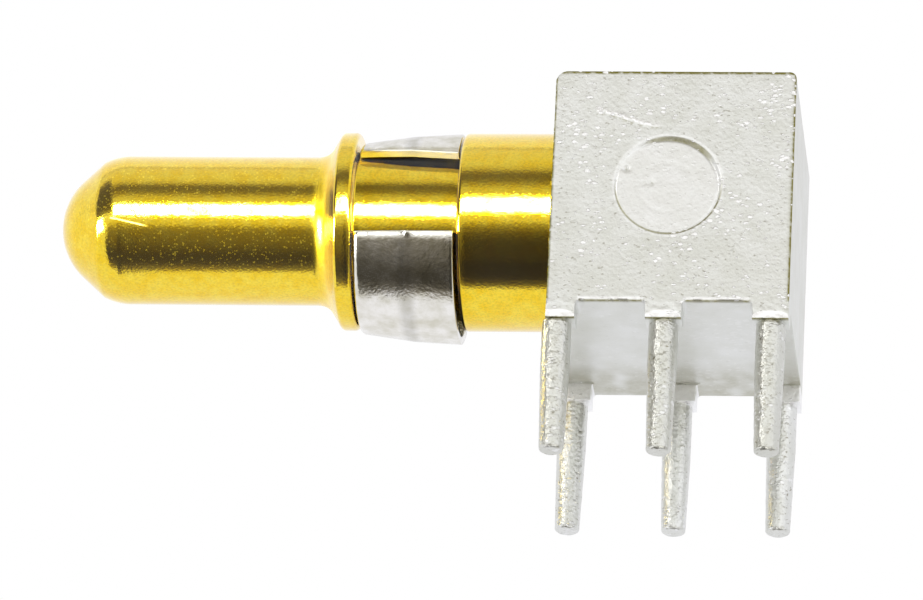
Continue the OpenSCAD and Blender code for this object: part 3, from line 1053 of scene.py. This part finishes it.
def dark_panel(name, radius, left, right, bands, bulge=0.0):
    """Curved warm cloth round the contact, seen only in gloss, with levels by angle from -Y upwards."""
    first, last = bands[0][0], bands[-1][0]
    steps = 60
    turns = [math.radians(first + (last - first) * i / steps) for i in range(steps + 1)]
    lefts = [left - bulge * math.sin(math.pi * i / steps) for i in range(steps + 1)]
    verts = [(x, -radius * math.cos(t), radius * math.sin(t))
             for edge in (lefts, [right] * len(turns)) for x, t in zip(edge, turns)]
    faces = [(i, i + 1, steps + 2 + i, steps + 1 + i) for i in range(steps)]
    mesh = bpy.data.meshes.new(name)
    mesh.from_pydata(verts, [], faces)
    material = bare_material(name)
    tree = material.node_tree
    place = add(tree, "ShaderNodeTexCoord").outputs["Object"]
    split = add(tree, "ShaderNodeSeparateXYZ", {0: place})
    front = add(tree, "ShaderNodeMath", {0: split.outputs["Y"], 1: -1.0}, operation="MULTIPLY")
    angle = add(tree, "ShaderNodeMath", {0: split.outputs["Z"], 1: front.outputs[0]}, operation="ARCTAN2")
    turn = add(tree, "ShaderNodeMapRange", {
        "Value": angle.outputs[0], "From Min": turns[0], "From Max": turns[-1]})
    cloth = add(tree, "ShaderNodeValToRGB", {"Fac": turn.outputs[0]})
    ramp(cloth, [
        ((degrees - first) / (last - first),
         (level, level * (0.87 + 0.13 * level), level * (0.65 + 0.35 * level), 1))
        for degrees, level in bands
    ])
    glow = add(tree, "ShaderNodeEmission", {"Color": cloth.outputs[0], "Strength": 1.0})
    add(tree, "ShaderNodeOutputMaterial", {"Surface": glow.outputs[0]})
    panel = stage_object(name, mesh, material)
    panel.location.z = AXIS_H * MM
    panel.visible_camera = False
    panel.visible_diffuse = False
    panel.visible_shadow = False
    return panel


def bearing(turn, rise):
    """Direction away from the object, for a turn to the right of -Y and a rise, in radians."""
    return Vector((
        math.sin(turn) * math.cos(rise),
        -math.cos(turn) * math.cos(rise),
        math.sin(rise),
    ))


def lamp(name, size, turn, rise, reach, radiance, lit, shift=0.0, bounces=8):
    """Flat lamp for some pieces only, at a turn and a rise in degrees, then shifted along X."""
    light = bpy.data.lights.new(name, "AREA")
    light.shape = "RECTANGLE"
    light.size, light.size_y = size
    light.energy = radiance * math.pi * size[0] * size[1]
    light.cycles.max_bounces = bounces
    holder = placed(name, light)
    away = bearing(math.radians(turn), math.radians(rise))
    holder.location = away * reach + Vector((shift, 0, 0))
    holder.rotation_euler = away.to_track_quat("Z", "Y").to_euler()
    holder.visible_camera = False
    holder.light_linking.receiver_collection = lit
    return holder


def white_world():
    """White surroundings for the camera and in gloss, and softer light on what is matt."""
    world = bpy.data.worlds.new("studio")
    bpy.context.scene.world = world
    world.use_nodes = True
    tree = world.node_tree
    tree.nodes.clear()
    path = add(tree, "ShaderNodeLightPath").outputs
    seen = path["Is Camera Ray"]
    for ray in ("Is Glossy Ray", "Is Transmission Ray"):
        seen = add(tree, "ShaderNodeMath", {0: seen, 1: path[ray]}, operation="MAXIMUM").outputs[0]
    level = add(tree, "ShaderNodeMapRange", {"Value": seen, "To Min": 0.85, "To Max": 1.0})
    tint = add(tree, "ShaderNodeMix", {
        "Factor": path["Is Camera Ray"], "A": linear("#F8F8FC"), "B": (1, 1, 1, 1)}, data_type="RGBA")
    sky = add(tree, "ShaderNodeBackground", {"Color": tint.outputs["Result"], "Strength": level.outputs[0]})
    add(tree, "ShaderNodeOutputWorld", {"Surface": sky.outputs[0]})


def camera():
    """Camera below and in front of the object, as far off as the photograph's perspective tells."""
    azimuth, elevation, roll = 0.111, -0.406, 0.0515  # radians
    distance = 202.773 * MM
    target = Vector((-5.126, 0, 1.671)) * MM
    focal_px, image_px = 8416.76, 923
    back = bearing(azimuth, elevation)
    right = Vector((math.cos(azimuth), math.sin(azimuth), 0))
    up = back.cross(right)
    tilted_right = math.cos(roll) * right + math.sin(roll) * up
    tilted_up = math.cos(roll) * up - math.sin(roll) * right
    lens = bpy.data.cameras.new("camera")
    lens.sensor_width = 36
    lens.lens = focal_px / image_px * lens.sensor_width
    lens.clip_start = 0.01
    lens.clip_end = 20
    holder = placed("camera", lens)
    turn = Matrix((tilted_right, tilted_up, back)).transposed().to_4x4()
    holder.matrix_world = Matrix.Translation(target + back * distance) @ turn
    bpy.context.scene.camera = holder


floor()

# Cloths that the metal mirrors from below, from above and from the upper left
dark_panel("lower_panel", radius=0.2, left=-0.12, right=0.6, bulge=0.07, bands=[
    (-90, 0.6), (-86, 0.26), (-81, 0.14), (-76, 0.075), (-70, 0.055), (-60, 0.062), (-50, 0.11),
    (-38, 0.175), (-30, 0.21), (-22, 0.29), (-18, 0.4), (-15, 0.7), (-8, 0.85), (0, 1.1),
])
dark_panel("upper_panel", radius=0.2, left=-0.7, right=0.1, bands=[
    (0, 1.1), (18, 1.1), (22, 0.75), (29, 0.66), (34, 0.38), (39, 0.22), (45, 0.16), (50, 0.22),
    (56, 0.6), (64, 0.78), (88, 0.82), (91, 0.5), (94, 0.95), (100, 1.0),
])
dark_panel("corner_panel", radius=0.19, left=-0.5, right=-0.115, bulge=0.1, bands=[
    (4, 0.6), (10, 0.22), (18, 0.12), (30, 0.1), (52, 0.1), (64, 0.14), (70, 0.3), (75, 0.75),
])

# Small dark cards close by, seen only in gloss, that paint shade into the reflections on the shank and on
# the clip
dark_panel("shank_card", radius=0.03, left=-0.0095, right=-0.002, bands=[
    (-89, 0.45), (-86, 0.2), (-81, 0.07), (-76, 0.03), (-70, 0.025), (-60, 0.024), (-50, 0.042),
    (-38, 0.048), (-32, 0.062), (-26, 0.105), (-20, 0.2), (-16, 0.36), (-12, 0.6),
])
dark_panel("clip_card", radius=0.035, left=-0.0235, right=-0.0185, bands=[
    (-96, 0.6), (-93, 0.22), (-90, 0.08), (-86, 0.055), (-60, 0.055), (-45, 0.07), (-30, 0.13),
    (-18, 0.3), (-12, 0.6),
])

# Lamps for the highlights on the gold and the clip, and others for the tin
lamp("strip_lamp", size=(0.6, 0.055), turn=0, rise=9.5, reach=0.194, radiance=60, lit=gold_only,
     shift=0.2, bounces=0)
lamp("strip_glow", size=(0.6, 0.055), turn=0, rise=9.5, reach=0.194, radiance=1.5, lit=gold_and_steel,
     shift=0.2)
lamp("side_lamp", size=(0.1, 0.055), turn=-63, rise=-7, reach=0.22, radiance=110, lit=gold_and_steel,
     bounces=0)
lamp("nose_lamp", size=(0.4, 0.4), turn=-90, rise=0, reach=0.4, radiance=0.06, lit=gold_and_steel)
lamp("tin_front", size=(0.7, 0.16), turn=0, rise=21, reach=0.19, radiance=0.3, lit=tin_only)
lamp("tin_key", size=(0.07, 0.12), turn=-46, rise=25, reach=0.5, radiance=13, lit=tin_only)
lamp("tin_fill", size=(0.6, 0.08), turn=0, rise=-42, reach=0.19, radiance=1.8, lit=tin_only)
white_world()
camera()
bpy.context.scene.view_settings.view_transform = "Standard"

bpy.context.view_layer.update()
